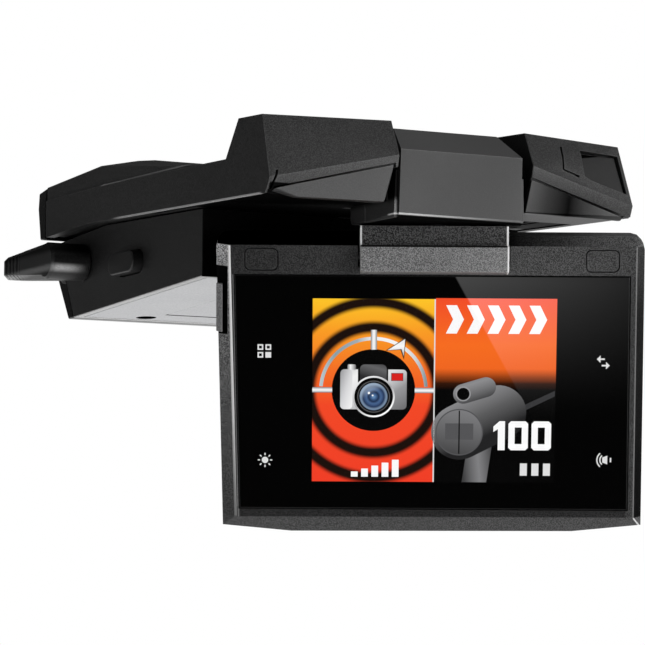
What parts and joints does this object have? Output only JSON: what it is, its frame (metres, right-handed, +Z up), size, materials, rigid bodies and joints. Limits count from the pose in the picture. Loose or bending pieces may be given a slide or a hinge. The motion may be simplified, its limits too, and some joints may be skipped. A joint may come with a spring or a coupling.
{
  "type": "windscreen radar detector",
  "caption": "Windscreen-mounted radar and laser detector: a wing-shaped dark unit with a hanging touch display that swivels and tilts, a push button and a side power plug.",
  "frame": {"origin": "middle of the adhesive pad's top face, the face that presses on the windscreen", "axes": "+Z up through the pad to the glass, +Y towards the front of the car, +X to the right as the driver sees the unit"},
  "size_m": [0.0919, 0.1368, 0.0799],
  "materials": {
    "cover_plastic": "fine sandblasted moulding, charcoal",
    "fascia_plastic": "satin moulding, mid grey",
    "shell_plastic": "fine textured moulding, dark",
    "black_plastic": "plain black moulding",
    "gloss_black": "polished black",
    "dark_lens": "infrared-passing dark red, polished",
    "sensor_window": "infrared-passing dark plastic, satin",
    "touch_glass": "black-printed touch glass with a lit screen area",
    "silver_metal": "bead-blasted",
    "screw_steel": "plain",
    "yellow_brass": "as turned",
    "circuit_board": "green solder resist",
    "antenna_ceramic": "fired, unglazed",
    "soft_rubber": "moulded"
  },
  "bodies": {
    "main_unit": {"top_cover": "cover_plastic", "bracket_front": "cover_plastic", "bracket_rear": "cover_plastic", "near_fascia_left": "fascia_plastic", "near_fascia_right": "fascia_plastic", "lower_case": "shell_plastic", "base_tray": "shell_plastic", "mounting_block": "shell_plastic", "speaker": "black_plastic", "dc_jack": "black_plastic", "rear_laser_sensor": "black_plastic", "processor_chip": "black_plastic", "front_window": "gloss_black", "case_end_cap": "gloss_black", "front_laser_lens": "dark_lens", "rear_laser_window": "sensor_window", "bottom_plate": "silver_metal", "bottom_hatch": "silver_metal", "case_screw_1": "screw_steel", "case_screw_2": "screw_steel", "case_screw_3": "screw_steel", "case_screw_4": "screw_steel", "shield_can": "screw_steel", "microwave_module": "screw_steel", "radar_horn": "yellow_brass", "main_board": "circuit_board", "laser_board": "circuit_board", "gps_antenna": "antenna_ceramic", "adhesive_pad": "soft_rubber"},
    "swivel_arm": {"swivel_shaft": "screw_steel", "swivel_nut": "yellow_brass", "hinge_arm": "cover_plastic"},
    "display": {"display_bezel": "cover_plastic", "display_back": "cover_plastic", "display_glass": "touch_glass", "lcd_panel": "gloss_black", "display_board": "circuit_board", "hinge_cover": "fascia_plastic", "tilt_pin": "screw_steel", "screw_cover_left": "shell_plastic", "screw_cover_right": "shell_plastic", "display_screw_1": "screw_steel", "display_screw_2": "screw_steel", "display_screw_3": "screw_steel", "display_screw_4": "screw_steel"},
    "power_slider": {"power_slider": "shell_plastic"},
    "side_button": {"side_button": "black_plastic"},
    "power_plug": {"plug_housing": "soft_rubber", "plug_strain_relief": "soft_rubber", "plug_barrel": "screw_steel"}
  },
  "joints": [
    {"name": "display_swivel", "type": "hinge", "parent": "main_unit", "child": "swivel_arm", "pos_m": [0, -0.0293, -0.0193], "axis": [0, 0, 1], "range_deg": [0, 54]},
    {"name": "display_tilt", "type": "hinge", "parent": "swivel_arm", "child": "display", "pos_m": [0.00118, -0.02698, -0.026], "axis": [-0.891, 0.454, 0], "range_deg": [-3, 25]},
    {"name": "power_slider_travel", "type": "slide", "parent": "display", "child": "power_slider", "axis": [-0.1251, -0.2456, 0.9613], "range_m": [0, 0.0032]},
    {"name": "side_button_press", "type": "slide", "parent": "main_unit", "child": "side_button", "axis": [1, 0, 0], "range_m": [0, 0.0008], "stiffness_N_per_m": 250},
    {"name": "power_plug_pull", "type": "slide", "parent": "main_unit", "child": "power_plug", "axis": [-1, 0, 0], "range_m": [0, 0.01]}
  ]
}
